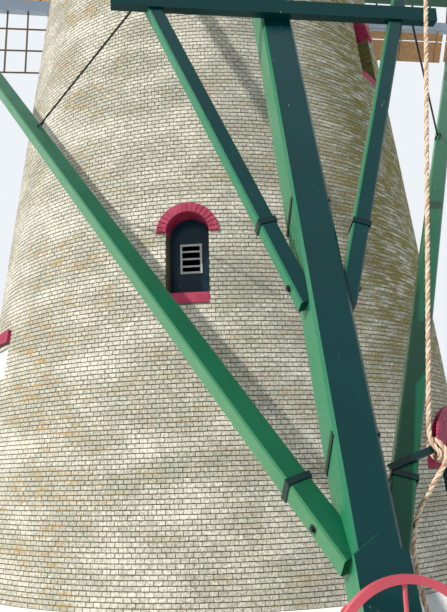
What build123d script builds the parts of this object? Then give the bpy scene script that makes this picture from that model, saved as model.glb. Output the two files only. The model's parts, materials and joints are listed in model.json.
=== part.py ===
from build123d import *
import os
from math import asin, atan2, cos, degrees, hypot, radians, sin, sqrt, tan

# Tower mill with a turning cap, a tail pole and four common sails. Millimetres.
# The origin is the centre of the tower at ground level. The tail points to -Y
# and the sails stand towards +Y. Azimuths are in degrees from -Y towards +X.

# Allowances for cutting tools: past a face, and well outside a piece
cut_over = 1.0
cut_reach = 500.0

# Tower wall
base_radius = 4517.0
batter = 0.1165
wall_height = 12150.0
base_wall = 750.0
ledge_width = 120.0
bay_count = 10
jamb_height = 1650.0
split_height = 6000.0

# Floors
slab_thickness = 100.0
first_floor_level = 3100.0
second_floor_level = 7450.0
board_thickness = 45.0
joist_depth = 240.0
joist_width = 200.0
joist_spacing = 1150.0

# Arched windows, each closed by a boarded shutter
window_width = 620.0
window_rise = 930.0
window_ring = 145.0
window_recess = 350.0
sill_height = 150.0
sill_fall = 30.0
sill_proud = 7.5
low_sill = 4140.0
high_sill = 8470.0
front_window_azimuth = -12.7
side_window_azimuth = 47.2
ring_depth = 350.0
ring_proud = 15.0
shutter_thickness = 45.0
shutter_groove = 8.0
shutter_seam = 6.0
stile_width = 75.0
vent_width = 325.0
vent_height = 450.0
vent_above_sill = 400.0
vent_bar = 30.0
vent_proud = 18.0

# Arched doorways, each with two leaves behind a brick rebate
door_azimuth = 53.4
door_width = 1660.0
door_arch_drop = 350.0
door_ring = 385.0
door_ring_depth = 300.0
door_recess = 350.0
threshold_height = 120.0
rebate_width = 130.0
rebate_head = 150.0
leaf_thickness = 50.0
leaf_clearance = 8.0
leaf_meeting_gap = 12.0
ledger_width = 160.0
ledger_thickness = 26.0
eye_radius = 18.0
eye_height = 90.0
pin_radius = 10.0
pin_clearance = 0.3
strap_length = 640.0
strap_width = 60.0
strap_thickness = 8.0
hinge_heights = (520.0, 1780.0)

# Low hatch on the left side
hatch_azimuth = -66.5
hatch_width = 700.0
hatch_bottom = 3200.0
hatch_height = 520.0
hood_width = 770.0
hood_bottom = 3800.0
hood_height = 190.0
hood_proud = 60.0
hood_depth = 150.0
hatch_inset = 25.0

# Curb and cap frame
ring_width = 430.0
ring_inset = 40.0
curb_height = 180.0
cap_ring_height = 170.0
seat_gap = 0.5
beam_spacing = 950.0
beam_width = 350.0
beam_height = 400.0
beam_front = 3350.0
beam_rear = 5050.0
eaves_height = 80.0
eaves_width = 300.0

# Cap roof
roof_front = 3150.0
front_lean = 12.0
roof_rear = 3000.0
roof_thickness = 60.0
front_half_width = 2600.0
middle_half_width = 3330.0
rear_half_width = 2300.0
front_rise = 3350.0
middle_rise = 3400.0
rear_rise = 2700.0
gable_thickness = 45.0
gable_inset = 40.0
roof_shoulder_width = 0.80
roof_shoulder_height = 0.56
shaft_hole_gap = 30.0

# Windshaft and stocks
hub_y = 4150.0
shaft_rise = 1449.5
shaft_tilt = 10.0
head_size = 640.0
head_length = 1150.0
neck_radius = 230.0
shaft_radius = 250.0
gudgeon_radius = 60.0
gudgeon_length = 320.0
tail_bearing_y = -2150.0
neck_bearing_y = 2560.0
neck_length = 560.0
bearing_clearance = 0.3
neck_beam_width = 460.0
tail_bearing_width = 260.0
stock_root = 330.0
stock_tip = 170.0
sail_length = 12500.0

# Sail frames
heel = 2700.0
frame_end = 12250.0
bar_pitch = 535.0
frame_width = 2000.0
lath_fractions = (0.34, 0.67, 1.0)
bar_size = 42.0
lath_size = 34.0
heel_weather = 20.0
tip_weather = 6.0
board_sections = 2
board_gap = 120.0
narrow_board = 200.0
wide_board = 560.0
sail_board_thickness = 22.0
board_seam = 25.0
board_weather = 22.0

# Tail pole: distance from the tower axis at ground level, and lean per height
pole_foot_reach = 9248.0
pole_lean = 0.412
pole_width = 360.0
pole_depth = 400.0
pole_bottom = 300.0
pole_head_rise = 849.5
pole_chamfer = 28.0
tail_beam_height = 400.0
tail_beam_width = 420.0

# Braces between the tail pole and the two cross-beams of the cap
brace_chamfer = 16.0
short_brace_size = 160.0
short_brace_foot = (-174.0, -7828.0, 3103.0)
short_brace_lean = (-0.3359, 0.3709)
short_spruit_size = 300.0
short_spruit_overhang = 220.0
long_brace_size = 200.0
long_brace_foot = (-145.0, -8620.0, 1045.0)
long_brace_lean = (-0.5313, 0.8459)
long_spruit_size = 320.0
long_spruit_notch = 150.0
long_spruit_overhang = 260.0

# Middle cross-beam of the tail and its two iron hangers
cross_beam_bottom = 6815.0
cross_beam_height = 168.0
cross_beam_depth = 123.0
cross_beam_length = 3816.0
hanger_radius = 13.0
hanger_inset = 260.0
hanger_reach = (2949.0, -4093.0, 6504.0)

# Ironwork of the tail
iron_thickness = 10.0
iron_width = 60.0
pole_bar_heights = (2000.0, 4255.0)
pole_bar_fall = 0.53
pole_bar_reach = (30.0, 381.0)
short_strap_height = 3930.0
long_strap_height = 1580.0
arm_start = (771.0, -128.0)
arm_end = (1173.0, 271.0)
arm_width = 60.0
arm_thickness = 24.0

# Foot board and capstan
foot_board_width = 400.0
foot_board_shoulder = 1130.0
foot_board_peak = 1255.0
foot_board_thickness = 30.0
capstan_height = 545.0
wheel_radius = 500.0
wheel_rim = 55.0
wheel_spokes = 6
spoke_radius = 15.0
wheel_hub_radius = 70.0
wheel_hub_length = 110.0
wheel_clearance = 25.0
axle_radius = 25.0
drum_radius = 110.0
drum_length = 360.0
drum_flange = 30.0
drum_flange_radius = 170.0
drum_clearance = 15.0

# Brake lever and brake rope
lever_tip = (2068.0, -7320.0)
lever_root = (1300.0, -600.0)
lever_rise = 879.5
lever_width = 150.0
lever_height = 190.0
rope_radius = 22.5
rope_head = (2054.0, -7200.0)
rope_head_rise = 781.1
rope_route = (
    (712.8, -8086.7, 1902.7), (777.7, -8172.7, 1801.1), (789.7, -8077.9, 1727.6),
    (738.5, -7968.4, 1857.1), (753.2, -8055.8, 1939.3), (820.9, -8152.7, 1848.3),
    (807.8, -8205, 1743.3), (660, -8215, 1560), (480, -8258, 1325),
    (405, -8330, 1100), (404, -8430, 842), (419.3, -8525.5, 636.5),
    (488.3, -8564.5, 549.9), (600, -8579.3, 516.8), (711.7, -8564.5, 549.9),
    (780.7, -8525.5, 636.5), (806, -8433, 842), (812, -8332, 1110),
    (855, -8240, 1370), (915, -8170, 1620), (958, -8100, 1800),
)


def outer_radius(z):
    return base_radius - batter * z


def storey_wall(storey):
    return base_wall - storey * ledge_width


def frustum(low, high, offset):
    """Solid cone slice whose side lies at a level distance from the wall's face."""
    low_radius = outer_radius(low) + offset
    high_radius = outer_radius(high) + offset
    align = (Align.CENTER, Align.CENTER, Align.MIN)
    return Pos(0, 0, low) * Cone(low_radius, high_radius, high - low, align=align)


def at_azimuth(azimuth):
    """Place something built along +X, with Y tangential, at an azimuth."""
    return Rot(0, 0, azimuth - 90)


def block(x, y, z):
    """Box from three (low, high) pairs."""
    align = (Align.MIN, Align.MIN, Align.MIN)
    return Pos(x[0], y[0], z[0]) * Box(x[1] - x[0], y[1] - y[0], z[1] - z[0], align=align)


def timber(start, end, width, depth, chamfer_size=0.0, across=Vector(1, 0, 0)):
    """Square-sawn timber between two points, its width turned towards across."""
    axis = Vector(*end) - Vector(*start)
    unit = axis.normalized()
    side = (across - unit * across.dot(unit)).normalized()
    plane = Plane(origin=start, x_dir=side, z_dir=unit)
    section = Rectangle(width, depth)
    if chamfer_size:
        section = chamfer(section.vertices(), chamfer_size)
    return extrude(plane * section, amount=axis.length)


def collar(start, end, at_z, width, depth):
    """Iron strap round a square timber at the height where its axis reaches at_z."""
    axis = Vector(*end) - Vector(*start)
    unit = axis.normalized()
    foot = Vector(*start)
    centre = foot + axis * ((at_z - foot.Z) / axis.Z)
    low = centre - unit * (iron_width / 2)
    high = centre + unit * (iron_width / 2)
    outer = timber(low, high, width + 2 * iron_thickness, depth + 2 * iron_thickness)
    inner = timber(low - unit, high + unit, width, depth)
    return outer - inner


def mirrored(solid):
    return mirror(solid, about=Plane.YZ)


def arch_face(half_width, bottom, spring, drop):
    """Opening outline: a rectangle under an arc whose centre lies below the spring."""
    radius = hypot(half_width, drop)
    sides = Polyline(
        (half_width, spring), (half_width, bottom), (-half_width, bottom), (-half_width, spring)
    )
    head = ThreePointArc((half_width, spring), (0, spring - drop + radius), (-half_width, spring))
    return make_face(sides + head)


def disc_head_face(half_width, spring, drop, thickness):
    """Whole area under the outer edge of an arch ring, above the spring."""
    outer_size = hypot(half_width, drop) + thickness
    outer_half = sqrt(outer_size**2 - drop**2)
    crown = ThreePointArc((outer_half, spring), (0, spring - drop + outer_size), (-outer_half, spring))
    return make_face(crown + Line((-outer_half, spring), (outer_half, spring)))


def ring_face(half_width, spring, drop, thickness):
    """Face of an arch ring, cut level at the spring."""
    head = disc_head_face(half_width, spring, drop, thickness)
    return head - arch_face(half_width, spring - cut_over, spring, drop)


def radial_prism(face, start=0.0, end=base_radius + cut_reach):
    """Extrude an upright face along +X from start to end."""
    return extrude(Plane.YZ.offset(start) * face, amount=end - start)


# Windows

def window_spring(sill):
    return sill + window_rise


def window_opening(sill):
    return radial_prism(arch_face(window_width / 2, sill - sill_height, window_spring(sill), 0.0))


def ring_band(head, offset_in, offset_out):
    """Part of a head prism between two cones round the wall's face."""
    shell = frustum(0, wall_height, offset_out) - frustum(0, wall_height, -offset_in)
    return head & shell


def window_ring_solid(sill):
    head = radial_prism(ring_face(window_width / 2, window_spring(sill), 0.0, window_ring))
    return ring_band(head, ring_depth, ring_proud)


def window_ring_pocket(sill):
    head = radial_prism(disc_head_face(window_width / 2, window_spring(sill), 0.0, window_ring))
    return ring_band(head, ring_depth, base_radius)


def shutter_face_x(sill):
    apex = window_spring(sill) + window_width / 2
    return outer_radius(apex) - window_recess


def sill_solid(sill, storey):
    """Sill through the whole wall, its top falling outwards from the shutter."""
    back = shutter_face_x(sill)
    front = outer_radius(sill - sill_height) + sill_proud + cut_over
    half = window_width / 2
    outline = Polyline(
        (0, sill - sill_height), (front, sill - sill_height), (front, sill),
        (back, sill + sill_fall), (0, sill + sill_fall), close=True
    )
    slab = extrude(Plane.XZ.offset(-half) * make_face(outline), amount=window_width)
    shell = frustum(0, wall_height, sill_proud) - frustum(0, wall_height, -storey_wall(storey))
    return slab & shell


def vent_block(sill, start, end, margin):
    low = sill + vent_above_sill
    half = vent_width / 2
    return block((start, end), (margin - half, half - margin), (low + margin, low + vent_height - margin))


def shutter_solid(sill):
    face = shutter_face_x(sill)
    bottom = sill + sill_fall
    half = window_width / 2
    spring = window_spring(sill)
    slab = radial_prism(arch_face(half, bottom, spring, 0.0), face - shutter_thickness, face)
    panel = arch_face(half - stile_width, bottom - cut_over, spring, 0.0)
    slab -= radial_prism(panel, face - shutter_groove, face + cut_over)
    seam_half = shutter_seam / 2
    slab -= block((face - 2 * shutter_groove, face), (-seam_half, seam_half), (bottom, spring + half))
    return slab - vent_block(sill, face - shutter_thickness, face, vent_bar)


def vent_solid(sill):
    """Rim of the vent, planted on the sunk panel of the shutter."""
    face = shutter_face_x(sill) - shutter_groove
    frame = vent_block(sill, face, face + vent_proud, 0.0)
    return frame - vent_block(sill, face, face + vent_proud, vent_bar)


# Doorways

door_spring = jamb_height
door_plane = outer_radius(door_spring) - door_recess
door_ring_half = sqrt((hypot(door_width / 2, door_arch_drop) + door_ring) ** 2 - door_arch_drop**2)
rebate_half = door_width / 2 + rebate_width
rebate_top = door_spring + hypot(door_width / 2, door_arch_drop) - door_arch_drop + rebate_head
leaf_face = door_plane - leaf_clearance
leaf_back = leaf_face - leaf_thickness
hinge_x = leaf_back - eye_radius
leaf_edge = rebate_half - leaf_clearance - ledger_thickness / 2
hinge_y = leaf_edge - eye_radius
leaf_bottom = threshold_height + leaf_clearance
leaf_top = rebate_top - leaf_clearance


def door_opening():
    return radial_prism(arch_face(door_width / 2, 0.0, door_spring, door_arch_drop))


def door_rebate():
    return block((0, door_plane), (-rebate_half, rebate_half), (threshold_height, rebate_top))


def door_ring_solid():
    head = radial_prism(ring_face(door_width / 2, door_spring, door_arch_drop, door_ring))
    return ring_band(head, door_ring_depth, ring_proud) - door_rebate()


def door_ring_pocket():
    head = radial_prism(disc_head_face(door_width / 2, door_spring, door_arch_drop, door_ring))
    return ring_band(head, door_ring_depth, base_radius)


def threshold_solid():
    half = door_width / 2
    slab = block((0, base_radius), (-half, half), (0, threshold_height))
    return (slab & frustum(0, threshold_height, 0)) - frustum(0, threshold_height, -base_wall)


def hinge_eye(z):
    """Strap on the back of a leaf that ends in an eye round the hinge pin."""
    align = (Align.CENTER, Align.CENTER, Align.MIN)
    strap = block(
        (leaf_back - strap_thickness, leaf_back), (hinge_y - strap_length, hinge_y),
        (z + (eye_height - strap_width) / 2, z + (eye_height + strap_width) / 2)
    )
    eye = Pos(hinge_x, hinge_y, z) * Cylinder(eye_radius, eye_height, align=align)
    bore = Pos(hinge_x, hinge_y, z) * Cylinder(pin_radius + pin_clearance, eye_height, align=align)
    return strap + eye - bore


def door_leaf():
    """Leaf on the +Y side: boards, two ledgers on the back and two hinge eyes."""
    leaf = block((leaf_back, leaf_face), (leaf_meeting_gap / 2, leaf_edge), (leaf_bottom, leaf_top))
    for z in hinge_heights:
        low = z + eye_height + strap_thickness
        ledger = block(
            (leaf_back - ledger_thickness, leaf_back),
            (ledger_width, leaf_edge - 4 * eye_radius), (low, low + ledger_width)
        )
        leaf = leaf + ledger + hinge_eye(z)
    return leaf


def door_pintle(z):
    """Plate on the rebate's side with an arm and an upright pin under the eye."""
    align = (Align.CENTER, Align.CENTER, Align.MIN)
    top = z - pin_clearance
    arm_half = 0.5 * eye_radius
    plate = block(
        (hinge_x - 2 * eye_radius, hinge_x + eye_radius), (rebate_half - strap_thickness, rebate_half),
        (top - strap_width, top + strap_width)
    )
    arm = block((hinge_x - arm_half, hinge_x + arm_half), (hinge_y, rebate_half), (top - 2 * arm_half, top))
    heel_disc = Pos(hinge_x, hinge_y, top - 2 * arm_half) * Cylinder(arm_half, 2 * arm_half, align=align)
    pin = Pos(hinge_x, hinge_y, top) * Cylinder(pin_radius, eye_height, align=align)
    return plate + arm + heel_disc + pin


def flipped(solid):
    """Mirror a doorway piece to the other side of its middle."""
    return mirror(solid, about=Plane.XZ)


# Hatch

def hatch_opening():
    half = hatch_width / 2
    return block((0, base_radius), (-half, half), (hatch_bottom, hatch_bottom + hatch_height))


def hatch_shutter():
    low = hatch_bottom
    face = outer_radius(low + hatch_height) - hatch_inset
    half = hatch_width / 2
    return block((face - shutter_thickness, face), (-half, half), (low, low + hatch_height))


def hood_cut():
    half = hood_width / 2
    top = hood_bottom + hood_height
    slab = block((0, base_radius), (-half, half), (hood_bottom, top))
    return ring_band(slab, hood_depth, base_radius)


def hood_solid():
    half = hood_width / 2
    top = hood_bottom + hood_height
    slab = block((0, base_radius + cut_reach), (-half, half), (hood_bottom, top))
    return ring_band(slab, hood_depth, hood_proud)


# Tower wall in bays

first_ledge = first_floor_level - board_thickness - joist_depth
second_ledge = second_floor_level - board_thickness - joist_depth
rear_door_azimuth = door_azimuth + 180
bay_angle = 360.0 / bay_count


def wall_outline():
    """Half section of the wall, with a ledge under each timber floor."""
    def inner(z, storey):
        return outer_radius(z) - storey_wall(storey)
    points = [
        (base_radius, 0), (outer_radius(wall_height), wall_height), (inner(wall_height, 2), wall_height),
        (inner(second_ledge, 2), second_ledge), (inner(second_ledge, 1), second_ledge),
        (inner(first_ledge, 1), first_ledge), (inner(first_ledge, 0), first_ledge), (inner(0, 0), 0),
    ]
    return make_face(Polyline(*points, close=True))


def bay(index):
    """Wedge of the wall centred on the doorway's azimuth plus whole bays."""
    start = door_azimuth - 90 + (index - 0.5) * bay_angle
    wedge = revolve(Plane.XZ * wall_outline(), Axis.Z, revolution_arc=bay_angle)
    return Rot(0, 0, start) * wedge


window_places = (
    (front_window_azimuth, low_sill, 1), (front_window_azimuth + 180, low_sill, 1),
    (side_window_azimuth, high_sill, 2), (side_window_azimuth + 180, high_sill, 2),
)


def wall_cuts():
    """Every opening and pocket in the wall, with its azimuth and half angle."""
    cuts = []
    ring_half = degrees(asin((window_width / 2 + window_ring) / (outer_radius(wall_height) - ring_depth)))
    for azimuth, sill, storey in window_places:
        tool = window_opening(sill) + window_ring_pocket(sill)
        cuts.append((azimuth, ring_half, at_azimuth(azimuth) * tool))
    door_half = degrees(asin(door_ring_half / (outer_radius(door_spring) - door_ring_depth)))
    for azimuth in (door_azimuth, rear_door_azimuth):
        tool = door_opening() + door_rebate() + door_ring_pocket()
        cuts.append((azimuth, door_half, at_azimuth(azimuth) * tool))
    hood_half = degrees(asin(hood_width / 2 / (outer_radius(hood_bottom + hood_height) - hood_depth)))
    cuts.append((hatch_azimuth, hood_half, at_azimuth(hatch_azimuth) * (hatch_opening() + hood_cut())))
    return cuts


def wall_bays():
    cuts = wall_cuts()
    bays = []
    for index in range(bay_count):
        wedge = bay(index)
        middle = door_azimuth + index * bay_angle
        for azimuth, half, tool in cuts:
            apart = abs((azimuth - middle + 180) % 360 - 180)
            if apart < half + bay_angle / 2:
                wedge = wedge - tool
        bays.append(wedge)
    return bays


def height_slice(solid, low, high):
    size = 2 * base_radius
    return solid & block((-size, size), (-size, size), (low, high))


# Floors

def floor_boards(level, storey):
    return frustum(level - board_thickness, level, -storey_wall(storey))


def floor_joists(level, storey):
    """Joists across the tower that rest on the ledge of the wall."""
    top = level - board_thickness
    low = top - joist_depth
    room = frustum(low, top, -storey_wall(storey))
    reach = outer_radius(low)
    span = outer_radius(top) - storey_wall(storey) - joist_width
    side_count = int(span / joist_spacing)
    joists = []
    for step in range(-side_count, side_count + 1):
        x = step * joist_spacing
        joists.append(block((x - joist_width / 2, x + joist_width / 2), (-reach, reach), (low, top)) & room)
    return joists


# Cap frame

ring_outer = outer_radius(wall_height) - ring_inset
curb_top = wall_height + curb_height
cap_ring_bottom = curb_top + seat_gap
deck = cap_ring_bottom + cap_ring_height
beam_top = deck + beam_height


def ring_solid(bottom, height):
    align = (Align.CENTER, Align.CENTER, Align.MIN)
    ring = Cylinder(ring_outer, height, align=align) - Cylinder(ring_outer - ring_width, height, align=align)
    return Pos(0, 0, bottom) * ring


def sheers():
    left = block(
        (-beam_spacing - beam_width / 2, -beam_spacing + beam_width / 2),
        (-beam_rear, beam_front), (deck, beam_top)
    )
    return [left, mirrored(left)]


# Windshaft, in a frame with Z along the shaft towards the sails and Y upwards

tilt = radians(shaft_tilt)
hub_z = deck + shaft_rise
hub_plane = Plane(origin=(0, hub_y, hub_z), x_dir=(-1, 0, 0), z_dir=(0, cos(tilt), sin(tilt)))


def shaft_z(y):
    """Height of the shaft's axis at a place along the cap."""
    return hub_z - (hub_y - y) * tan(tilt)


def along_shaft(y):
    return (y - hub_y) / cos(tilt)


def shaft_piece(y_low, y_high, radius):
    low = along_shaft(y_low)
    align = (Align.CENTER, Align.CENTER, Align.MIN)
    return hub_plane * Pos(0, 0, low) * Cylinder(radius, along_shaft(y_high) - low, align=align)


def windshaft():
    neck_low = neck_bearing_y - neck_length / 2
    neck_high = neck_bearing_y + neck_length / 2
    tail_end = tail_bearing_y + gudgeon_length / 2
    head_back = -head_length / 2
    head_y = hub_y + head_back * cos(tilt)
    shaft = shaft_piece(tail_end, neck_low, shaft_radius)
    shaft += shaft_piece(neck_low, neck_high, neck_radius)
    shaft += shaft_piece(neck_high, head_y, shaft_radius)
    shaft += shaft_piece(tail_bearing_y - gudgeon_length / 2, tail_end, gudgeon_radius)
    shaft += hub_plane * Box(head_size, head_size, head_length)
    half = stock_root / 2
    reach = head_size
    outer_hole = block((-reach, reach), (-half, half), (0, stock_root))
    inner_hole = block((-half, half), (-reach, reach), (-stock_root, 0))
    return shaft - hub_plane * outer_hole - hub_plane * inner_hole


def neck_beam():
    """Weather beam across the sheers with a half bearing for the shaft's neck."""
    front = neck_bearing_y + neck_beam_width / 2
    back = neck_bearing_y - neck_beam_width / 2
    reach = beam_spacing + beam_width / 2
    beam = block((-reach, reach), (back, front), (beam_top, shaft_z(neck_bearing_y)))
    return beam - shaft_piece(back - cut_reach, front + cut_reach, neck_radius + bearing_clearance)


def tail_bearing_beam():
    """Beam between the sheers with a half bearing for the shaft's tail gudgeon."""
    front = tail_bearing_y + tail_bearing_width / 2
    back = tail_bearing_y - tail_bearing_width / 2
    reach = beam_spacing - beam_width / 2
    axis_height = shaft_z(tail_bearing_y)
    beam = block((-reach, reach), (back, front), (axis_height - beam_height, axis_height))
    return beam - shaft_piece(back - cut_reach, front + cut_reach, gudgeon_radius + bearing_clearance)


# Stocks and sail frames, in the hub frame with one arm along local X

def tapered_stock():
    """Stock along X, straight through the head and tapering to both tips."""
    half = stock_root / 2
    tip = stock_tip / 2
    straight = head_size
    outline = Polyline(
        (-sail_length, -tip), (-straight, -half), (straight, -half), (sail_length, -tip),
        (sail_length, tip), (straight, half), (-straight, half), (-sail_length, tip), close=True
    )
    face = make_face(outline)
    flat = extrude(face, amount=half, both=True)
    upright = extrude(Plane.XZ * face, amount=half, both=True)
    return flat & upright


def stock_half(s):
    """Half the stock's depth at a distance from the hub."""
    share = max(0.0, (s - head_size) / (sail_length - head_size))
    return (stock_root + (stock_tip - stock_root) * share) / 2


def weather_depth(s):
    """How far the trailing hem lies behind the stock's middle at a distance s."""
    heel_depth = frame_width * tan(radians(heel_weather))
    tip_depth = frame_width * tan(radians(tip_weather))
    return heel_depth + (tip_depth - heel_depth) * (s - heel) / (frame_end - heel)


def frame_point(s, share):
    return Vector(s, -frame_width * share, -weather_depth(s) * share)


def sail_frame():
    """Sail bars and hem laths of one arm, fused where they cross."""
    count = int((frame_end - heel) / bar_pitch)
    parts = []
    for step in range(count + 1):
        s = heel + step * bar_pitch
        hem = frame_point(s, 1.0)
        inner = frame_point(s, stock_half(s) / frame_width)
        parts.append(timber(inner, hem, bar_size, bar_size))
    last = heel + count * bar_pitch
    for share in lath_fractions:
        start = frame_point(heel - bar_size, share)
        end = frame_point(last + bar_size, share)
        parts.append(timber(start, end, lath_size, lath_size, 0.0, Vector(0, 1, 0)))
    first, *rest = parts
    return first.fuse(*rest)


def leading_boards():
    """Boards on the leading side of one arm: a narrow one and a wide one a section."""
    span = (frame_end - heel - board_gap * (board_sections - 1)) / board_sections
    lean = radians(board_weather)
    out = Vector(0, cos(lean), sin(lean))
    boards = []
    for section in range(board_sections):
        s0 = heel + section * (span + board_gap)
        s1 = s0 + span
        low = stock_half(s0) + sail_board_thickness
        for width, start in ((narrow_board, low), (wide_board, low + narrow_board + board_seam)):
            middle = out * (start - low + width / 2) + Vector(0, low, 0)
            boards.append(timber(
                Vector(s0, 0, 0) + middle, Vector(s1, 0, 0) + middle, width, sail_board_thickness, 0.0, out
            ))
    return boards


def board_bars():
    """Stubs that carry the leading boards, from the stock's leading face."""
    lean = radians(board_weather)
    out = Vector(0, cos(lean), sin(lean))
    back = Vector(0, -sin(lean), cos(lean)) * -((sail_board_thickness + bar_size) / 2)
    reach = narrow_board + board_seam + wide_board
    count = int((frame_end - heel) / bar_pitch)
    bars = []
    for step in range(0, count + 1, 2):
        s = heel + (step + 0.5) * bar_pitch
        low = stock_half(s) + sail_board_thickness
        start = Vector(s, low, 0) + back - out * low
        bars.append(timber(start, start + out * (low + reach), bar_size, bar_size))
    return bars


def arm_place(quarter, depth):
    """Frame of an arm turned by quarters, at its stock's depth along the shaft."""
    return hub_plane * Pos(0, 0, depth) * Rot(0, 0, 90 * quarter)


# Tail pole

pole_angle = atan2(pole_lean, 1.0)
pole_top = deck + pole_head_rise


def pole_y(z):
    """Middle of the pole's front face at a height."""
    return -(pole_foot_reach - pole_lean * z)


def pole_axis_point(z):
    return Vector(0, pole_y(z) + pole_depth / 2 / cos(pole_angle), z)


def whole_pole():
    return timber(
        pole_axis_point(pole_bottom), pole_axis_point(pole_top), pole_width, pole_depth, pole_chamfer
    )


def brace_point(foot, lean, z):
    rise = z - foot[2]
    return (foot[0] + lean[0] * rise, foot[1] + lean[1] * rise, z)


short_spruit_z = deck - short_spruit_size / 2
short_brace_top = brace_point(short_brace_foot, short_brace_lean, short_spruit_z)
long_spruit_z = beam_top - long_spruit_notch + long_spruit_size / 2
long_brace_top = brace_point(long_brace_foot, long_brace_lean, long_spruit_z)


def cross_timber(half_length, y, z, size):
    return block((-half_length, half_length), (y - size / 2, y + size / 2), (z - size / 2, z + size / 2))


def short_spruit():
    half = -short_brace_top[0] + short_spruit_overhang
    return cross_timber(half, short_brace_top[1], short_spruit_z, short_spruit_size)


def long_spruit():
    half = -long_brace_top[0] + long_spruit_overhang
    return cross_timber(half, long_brace_top[1], long_spruit_z, long_spruit_size)


def cross_beam():
    half = cross_beam_length / 2
    back = pole_y(cross_beam_bottom)
    top = cross_beam_bottom + cross_beam_height
    return block((-half, half), (back - cross_beam_depth, back), (cross_beam_bottom, top))


def tail_beam():
    """Beam on the sheers that the head of the pole is housed in."""
    back = pole_y(beam_top) + pole_depth / cos(pole_angle)
    front = back - tail_beam_width / 4
    reach = beam_spacing + beam_width / 2
    return block((-reach, reach), (front, back + tail_beam_width), (beam_top, beam_top + tail_beam_height))


# Cap roof

def roof_section(half_width, rise, y):
    """Pointed arch across the cap, standing on the deck."""
    base = Line((-half_width, 0), (half_width, 0))
    out = roof_shoulder_width * half_width
    up = roof_shoulder_height * rise
    right = ThreePointArc((half_width, 0), (out, up), (0, rise))
    left = ThreePointArc((0, rise), (-out, up), (-half_width, 0))
    face = make_face(base + right + left)
    return Plane(origin=(0, y, deck), x_dir=(1, 0, 0), z_dir=(0, -1, 0)) * face


def roof_body(inset):
    """Solid of the roof, drawn in by inset all round and longer at both ends."""
    sections = [
        roof_section(front_half_width - inset, front_rise - inset, roof_front),
        roof_section(middle_half_width - inset, middle_rise - inset, 0),
        roof_section(rear_half_width - inset, rear_rise - inset, -roof_rear),
    ]
    return loft(sections)


def front_half_space(offset):
    """Everything behind the leaning plane of the front gable, moved in by offset."""
    size = 3 * middle_half_width
    plane = Plane(
        origin=(0, roof_front, deck), x_dir=(1, 0, 0),
        z_dir=(0, cos(radians(front_lean)), sin(radians(front_lean)))
    )
    return plane * Pos(0, 0, -size / 2 - offset) * Box(size, size, size)


def roof_shell(beams, spruit, low):
    """Roof skin above the eaves frame, cut off by the leaning front plane."""
    shell = (roof_body(0.0) - roof_body(roof_thickness)) & front_half_space(0.0)
    return shell - low - beams[0] - beams[1] - spruit


def cap_gables(beams, lever, low):
    """Leaning front gable with a hole for the shaft, and upright rear gable."""
    inner = roof_body(roof_thickness)
    front = inner & front_half_space(gable_inset)
    front = front - front_half_space(gable_inset + gable_thickness) - low - beams[0] - beams[1]
    front -= shaft_piece(0, hub_y, shaft_radius + shaft_hole_gap)
    size = 2 * middle_half_width
    back = gable_inset - roof_rear
    band = block((-size, size), (back, back + gable_thickness), (deck + eaves_height, deck + size))
    rear = (inner & band) - beams[0] - beams[1] - lever
    return [front, rear]


def build_cap():
    size = 2 * middle_half_width
    spruit = long_spruit()
    beams = [beam - spruit for beam in sheers()]
    lever_z = deck + lever_rise
    lever = timber((*lever_root, lever_z), (*lever_tip, lever_z), lever_width, lever_height)
    low = block((-size, size), (-size, size), (deck, deck + eaves_height))
    eaves = (roof_body(0.0) & low) - roof_body(eaves_width) - beams[0] - beams[1]
    shell = roof_shell(beams, spruit, low)
    return {
        "cap_ring": [ring_solid(cap_ring_bottom, cap_ring_height)],
        "sheers": beams, "long_spruit": [spruit], "eaves_frame": [eaves],
        "roof_left": [shell & block((-size, 0), (-size, size), (deck, deck + size))],
        "roof_right": [shell & block((0, size), (-size, size), (deck, deck + size))],
        "cap_gables": cap_gables(beams, lever, low), "short_spruit": [short_spruit()],
        "tail_beam": [tail_beam() - whole_pole()],
        "shaft_bearings": [neck_beam(), tail_bearing_beam()], "brake_lever": [lever],
    }


# Capstan: a wheel and drum on an axle through the foot of the pole

wheel_y = pole_y(pole_bottom) - foot_board_thickness / cos(pole_angle) - wheel_clearance - wheel_rim / 2


def radial_cylinder(radius, y_low, y_high):
    align = (Align.CENTER, Align.CENTER, Align.MIN)
    return Pos(0, y_high, capstan_height) * Rot(90, 0, 0) * Cylinder(radius, y_high - y_low, align=align)


def capstan():
    highest = capstan_height + drum_flange_radius
    drum_front = pole_y(highest) + pole_depth / cos(pole_angle) + drum_clearance
    drum_back = drum_front + drum_length
    wheel = radial_cylinder(wheel_radius, wheel_y - wheel_rim / 2, wheel_y + wheel_rim / 2)
    wheel -= radial_cylinder(wheel_radius - wheel_rim, wheel_y - wheel_rim, wheel_y + wheel_rim)
    hub_half = wheel_hub_length / 2
    parts = [radial_cylinder(wheel_hub_radius, wheel_y - hub_half, wheel_y + hub_half)]
    align = (Align.CENTER, Align.CENTER, Align.MIN)
    spoke = Cylinder(spoke_radius, wheel_radius - wheel_rim / 2, align=align)
    for step in range(wheel_spokes):
        parts.append(Pos(0, wheel_y, capstan_height) * Rot(0, 360 / wheel_spokes * step, 0) * spoke)
    parts.append(radial_cylinder(axle_radius, wheel_y, drum_back))
    parts.append(radial_cylinder(drum_radius, drum_front, drum_back))
    parts.append(radial_cylinder(drum_flange_radius, drum_front, drum_front + drum_flange))
    parts.append(radial_cylinder(drum_flange_radius, drum_back - drum_flange, drum_back))
    return wheel.fuse(*parts)


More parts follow.
